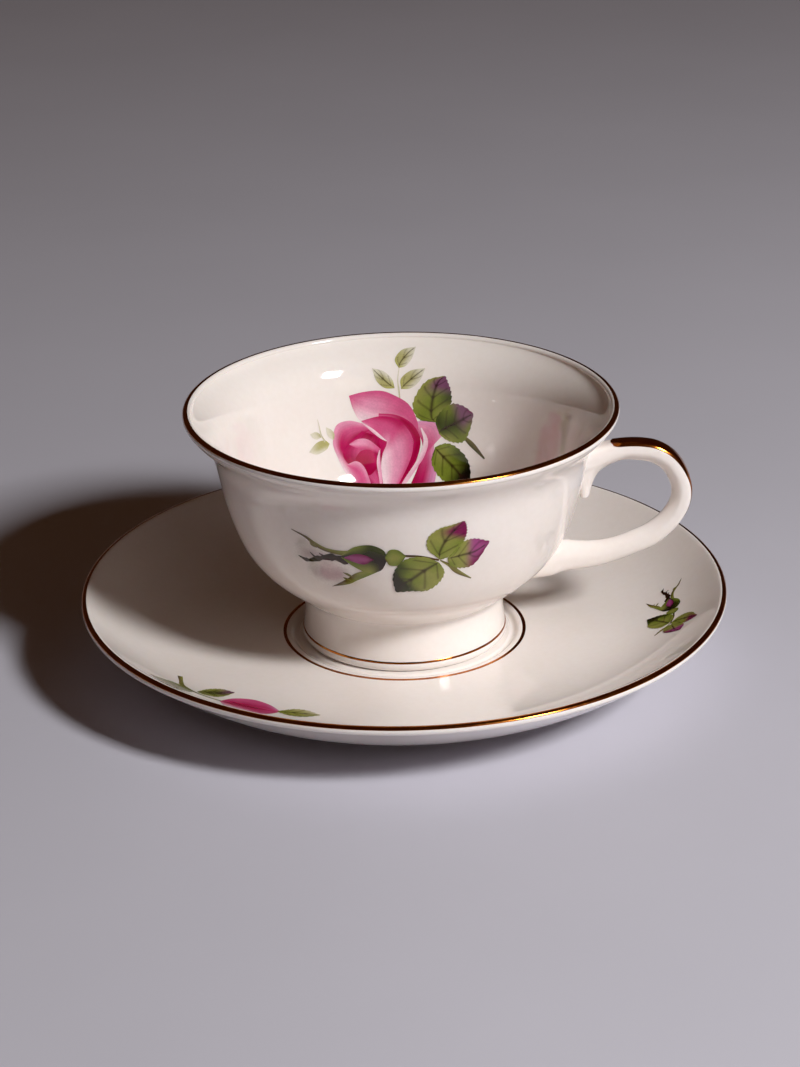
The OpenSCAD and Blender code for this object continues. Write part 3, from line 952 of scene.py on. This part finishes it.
def rose_sprigs():
    """The pale sprigs above and to the left of the rose."""
    faded = ["yellow_green pale_olive yellow_green", "pale_olive pale_olive faint_olive",
             "faint_olive faint_olive faint_olive"]
    weak = ["faint_olive pale_olive", "faint_olive faint_olive"]
    return [
        stroke([(-0.2, 43), (-0.4, 45), (-0.6, 47.4), (-0.2, 50)], [0.3, 0.4, 0.3, 0.2], weak),
        patch([(-0.3, 50), (-1.2, 51.8), (0.6, 53.6), (4, 54.2)],
              [(-0.3, 50), (1.4, 50.4), (3, 52), (4, 54.2)], faded, veins=3),
        patch([(-1.4, 45.4), (-3.8, 45.6), (-5.8, 47.4), (-6.8, 50.2)],
              [(-1.4, 45.6), (-2, 47.6), (-4, 49.4), (-6.8, 50.2)], faded, veins=3),
        patch([(0.2, 45.4), (0.2, 47.6), (2.6, 49.4), (6.2, 50)],
              [(0.2, 45.2), (2.6, 45.4), (4.8, 47.2), (6.2, 50)], faded, veins=3),
        patch([(-17.4, 34), (-18.6, 35), (-20.6, 34.8), (-22.4, 33.2)],
              [(-17.4, 34), (-18.2, 32.8), (-20.4, 32.2), (-22.4, 33.2)], faded),
        stroke([(-18.4, 34.6), (-19.4, 36.4), (-19.8, 38.4), (-20.2, 40.2)], [0.3, 0.3, 0.25, 0.15], weak),
        patch([(-16.4, 34.6), (-17.4, 35.4), (-18, 36.4), (-18.2, 38)],
              [(-16.4, 34.6), (-16.2, 36), (-17, 37.2), (-18.2, 38)], weak),
        patch([(-19.4, 35.8), (-20.4, 35.6), (-21.4, 36.2), (-22, 37.2)],
              [(-19.4, 35.9), (-19.8, 36.8), (-20.8, 37.4), (-22, 37.2)], weak),
    ]


def faint_petals():
    """The two washed-out petals between the bud's sepals."""
    wash = ["white white white", "white faint_pink white", "white faint_pink white",
            "white white white"]
    return [
        patch([(-15, 36), (-18, 37.2), (-21, 38), (-24.4, 37.2)],
              [(-15, 34.6), (-18, 33.6), (-21, 32.8), (-24.4, 33.2)], wash),
        patch([(-10.6, 33.4), (-14, 34.4), (-18, 33.6), (-21.4, 31.8)],
              [(-11.6, 30), (-14, 27.8), (-18, 27.2), (-21.4, 29.4)], wash),
    ]


def bud_spray():
    """The purple bud with its feathery sepals, its stem and its three leaves."""
    stalk = ["brown olive", "olive brown"]
    thorn = ["dark_brown dark_brown", "dark_brown dark_brown"]
    return [
        stroke([(0, 36.9), (3.6, 36.6), (7.7, 35.3)], [0.6, 0.5, 0.5], ["dark_brown brown", "brown brown"]),
        stroke([(8, 35.2), (10, 33.6), (11.7, 31.6), (14.8, 29)], [0.3, 0.8, 1.1, 0.3], stalk),
        stroke([(-24.6, 40.8), (-21.4, 39.6), (-19.4, 38.2), (-16.6, 37.1), (-12.6, 37), (-9, 38.4)],
               [0.15, 0.6, 1, 1, 1.2, 0.8], ["brown brown", "olive brown", "olive green"]),
        stroke([(-20.6, 39), (-20, 38), (-19, 37.4)], [0.1, 0.8, 0.3], stalk),
        stroke([(-23.2, 34), (-21, 33.4), (-18.4, 34.6), (-15.5, 35.4), (-12, 34.8)],
               [0.2, 0.7, 0.9, 1.1, 1.4], ["dark_brown dark_brown", "black_plum dark_brown"], thorns=4),
        stroke([(-20.6, 35.8), (-19.6, 34.8), (-18.2, 34.5)], [0.1, 0.5, 0.3], thorn),
        stroke([(-18.6, 36), (-17.6, 35.4), (-16.2, 35.3)], [0.1, 0.5, 0.3], thorn),
        patch([(-6, 33.4), (-8.6, 32.6), (-10.8, 31.6), (-12.4, 30), (-16, 27)],
              [(-5, 33), (-7.6, 31.4), (-10.2, 29.8), (-12.2, 28.4), (-16, 27)],
              ["green green", "olive green", "brown olive", "brown brown"]),
        stroke([(-13.4, 31.6), (-12.4, 31.2), (-11.4, 30.6)], [0.1, 0.6, 0.5], stalk),
        stroke([(-13.4, 30.2), (-12.6, 29.8), (-11.8, 29.4)], [0.1, 0.6, 0.5], stalk),
        patch([(-13.6, 36.4), (-10.8, 38.8), (-7.2, 39.6), (-4.4, 38.4), (-3.6, 36.4)],
              [(-13.6, 35.6), (-11, 33.6), (-8, 32.2), (-5, 33), (-3.6, 35.8)],
              ["olive black_plum green", "green black_plum green", "dark_green black_plum olive",
               "dark_green black_plum black_plum", "black_green black_plum black_plum"]),
        patch([(-13, 35.9), (-10.6, 37), (-8.4, 36.9), (-6.6, 36)],
              [(-13, 35.6), (-10.8, 34.8), (-8.6, 34.4), (-6.6, 35.6)],
              ["mauve mauve plum", "plum mauve mauve", "plum mauve plum", "black_plum plum black_plum"]),
        patch([(-4, 37), (-3, 38.5), (-1.2, 38.5), (0.5, 37)],
              [(-4, 36), (-3, 34.4), (-1, 34.6), (0.5, 36.8)],
              ["dark_green green brown", "green olive green", "dark_green green dark_green"]),
        patch([(7.8, 35.6), (5.4, 38.4), (5.6, 41.4), (8, 43.5), (10.6, 44.1), (13.3, 44.8)],
              [(8, 35.4), (10.4, 36.4), (12.8, 39.2), (13.7, 41.4), (13.7, 43.4), (13.3, 44.8)],
              ["green olive green", "olive green olive", "olive olive green",
               "olive plum plum", "olive plum plum", "plum plum plum"], veins=4, teeth=14),
        patch([(9.6, 35.6), (11.6, 37.8), (13.4, 39.4), (15.8, 39.6), (18.9, 38.2)],
              [(9.6, 35.4), (10.4, 33.6), (12.6, 32.6), (15.6, 33.2), (18.9, 38.2)],
              ["green olive olive", "green olive green", "olive olive olive",
               "mauve mauve plum", "plum mauve plum"], veins=4, teeth=12),
        patch([(7.6, 34.8), (4.6, 36.4), (1, 36.1), (-1.2, 34.2), (-2.3, 31), (-1.8, 27)],
              [(7.8, 34.6), (8.8, 32), (7.6, 29.2), (5, 27.2), (1.6, 27.2), (-1.8, 27)],
              ["green olive green", "olive green olive", "green olive olive",
               "dark_green green olive", "black_green black_green dark_green",
               "black_green black_green black_green"], veins=4, teeth=13),
    ]


def rosebud_spray():
    """The small pink rosebud of the saucer, with its stem and leaves."""
    return [
        stroke([(-15, 4.6), (-11.2, 1.8), (-7, 0.4), (-3, 0)], [0.8, 0.9, 0.7, 0.5],
               ["olive brown", "olive green"]),
        patch([(-11.4, 1), (-15.4, 4.2), (-18.2, 4), (-21.4, 1.2)],
              [(-11.4, 0), (-14.6, -3), (-18, -2.8), (-21.4, 1.2)],
              ["dark_green green dark_green", "green dark_green green", "dark_green green purple"],
              veins=4, teeth=9),
        stroke([(-17.1, 12.2), (-15.8, 8), (-14.6, 4.6), (-11.4, 1.8)], [1.2, 1, 1.3, 0.8],
               ["olive brown", "dark_green olive"]),
        patch([(-10.8, 3.2), (-9.4, 7.4), (-6.6, 9.6), (-3.2, 9)],
              [(-10.8, 2.8), (-8.6, 2.2), (-5.6, 3.6), (-3.2, 9)],
              ["green olive green", "olive dark_green olive", "purple purple green"],
              veins=4, teeth=9),
        patch([(-4.6, 0), (-2.6, 4.4), (1.8, 6), (6.2, 4), (9.6, 0.2)],
              [(-4.6, -0.6), (-2.4, -4.4), (2.2, -5.8), (7, -4), (9.6, -0.4)],
              ["magenta rose soft", "rose magenta soft", "rose magenta rose",
               "lilac rose magenta"], streaks=0.15),
        patch([(-4, 0.2), (-0.6, 1.8), (4, 1.4), (9, -0.4)],
              [(-4, -0.4), (-0.4, -1), (4, -1.8), (9, -0.8)],
              ["deep magenta deep", "magenta deep magenta", "rose magenta rose"]),
        patch([(9, 0), (12, 2.6), (15.4, 2.8), (19, 0.6)],
              [(9, -0.4), (12, -2), (15.6, -1.8), (19, 0.6)],
              ["olive green olive", "pale_olive olive olive", "faint_olive pale_olive olive"],
              veins=4, teeth=8),
    ]


def make_prints():
    """All transfers on the cup and the saucer."""
    inside = WallWrap(BOWL["inside"], side=1, facing=1)
    outside = WallWrap(BOWL["outside"], side=-1, facing=-1)
    front = SaucerWrap(azimuth=-129.5, radius=58, turn=120, scale=0.95, centre=(0, 0))
    right = SaucerWrap(azimuth=-3, radius=62.5, turn=-90, scale=0.62, centre=(-3, 35.6))
    rear = SaucerWrap(azimuth=112, radius=58, turn=-98, scale=0.95, centre=(0, 0))
    outer_bud = faint_petals() + bud_spray()
    rosebud = rosebud_spray()
    prints = [
        ("inner_rose", rose_bloom(), inside, "cup", "rose_transfer", "inner_rose_transfer"),
        ("inner_leaves", rose_leaves(), inside, "cup", "leaf_transfer", "inner_leaf_transfer"),
        ("inner_sprigs", rose_sprigs(), inside, "cup", "olive_transfer", "inner_sprig_transfer"),
        ("outer_bud", outer_bud, outside, "cup", "purple_transfer", "outer_bud_transfer"),
        ("saucer_rosebud", rosebud, front, "saucer", "rose_transfer", "saucer_rosebud_transfer"),
        ("saucer_bud", bud_spray(), right, "saucer", "purple_transfer", "saucer_purple_bud_transfer"),
        ("saucer_rear_bud", rosebud, rear, "saucer", "rose_transfer", "saucer_rear_bud_transfer"),
    ]
    for row in prints:
        print_object(*row)


# ---------------------------------------------------------------- stage

def floor_material():
    """Pale paper with a faint mottle."""
    material, tree, shader, add = new_material("floor_paper")
    where = add("ShaderNodeTexCoord").outputs["Object"]
    mottle = add("ShaderNodeTexNoise", {"Vector": where, "Scale": 12.0, "Detail": 3.0})
    dark = tuple(0.97 * c for c in FLOOR_COLOUR)
    colour = ramp(add, mottle.outputs["Fac"], [(0.3, dark), (0.7, FLOOR_COLOUR)])
    tree.links.new(colour, shader.inputs["Base Color"])
    shader.inputs["Roughness"].default_value = FLOOR_ROUGHNESS
    return material


def area_light(name, azimuth, elevation, distance, size, power, colour):
    """A square soft light aimed at the cup."""
    light = bpy.data.lights.new(name, "AREA")
    light.size = size
    light.energy = power
    light.color = colour
    obj = bpy.data.objects.new(name, light)
    a, e = math.radians(azimuth), math.radians(elevation)
    offset = Vector((math.cos(a) * math.cos(e), math.sin(a) * math.cos(e), math.sin(e))) * distance
    obj.location = Vector(LIGHT_TARGET) + offset
    obj.rotation_euler = (-offset).to_track_quat("-Z", "Y").to_euler()
    bpy.context.scene.collection.objects.link(obj)


def make_stage():
    """Pale floor, soft studio light and a dim, warm room."""
    size = FLOOR_HALF
    corners = [(-size, -size, 0), (size, -size, 0), (size, size, 0), (-size, size, 0)]
    floor = mesh_object("floor", corners, [(0, 1, 2, 3)], floor_material())
    for name, light in LIGHTS.items():
        area_light(name, *light)
    world = bpy.data.worlds.new("room")
    world.use_nodes = True
    background = world.node_tree.nodes["Background"]
    background.inputs["Color"].default_value = ROOM_COLOUR
    background.inputs["Strength"].default_value = ROOM_STRENGTH
    bpy.context.scene.world = world
    bpy.context.scene.view_settings.view_transform = "Standard"


def make_camera():
    """The camera stands in front, a little above the cup, with a long lens."""
    data = bpy.data.cameras.new("camera")
    data.sensor_fit = "VERTICAL"
    data.sensor_height = CAMERA_SENSOR
    data.lens = CAMERA_LENS
    data.clip_start = 0.01
    camera = bpy.data.objects.new("camera", data)
    tilt = Matrix.Rotation(math.radians(90 - CAMERA_PITCH), 4, "X")
    roll = Matrix.Rotation(math.radians(CAMERA_ROLL), 4, "Z")
    camera.matrix_world = Matrix.Translation(CAMERA_AT) @ tilt @ roll
    bpy.context.scene.collection.objects.link(camera)
    bpy.context.scene.camera = camera


make_saucer()
make_bowl()
make_foot()
make_handle_gold(make_handle())
make_gold_lines()
make_prints()
make_stage()
make_camera()
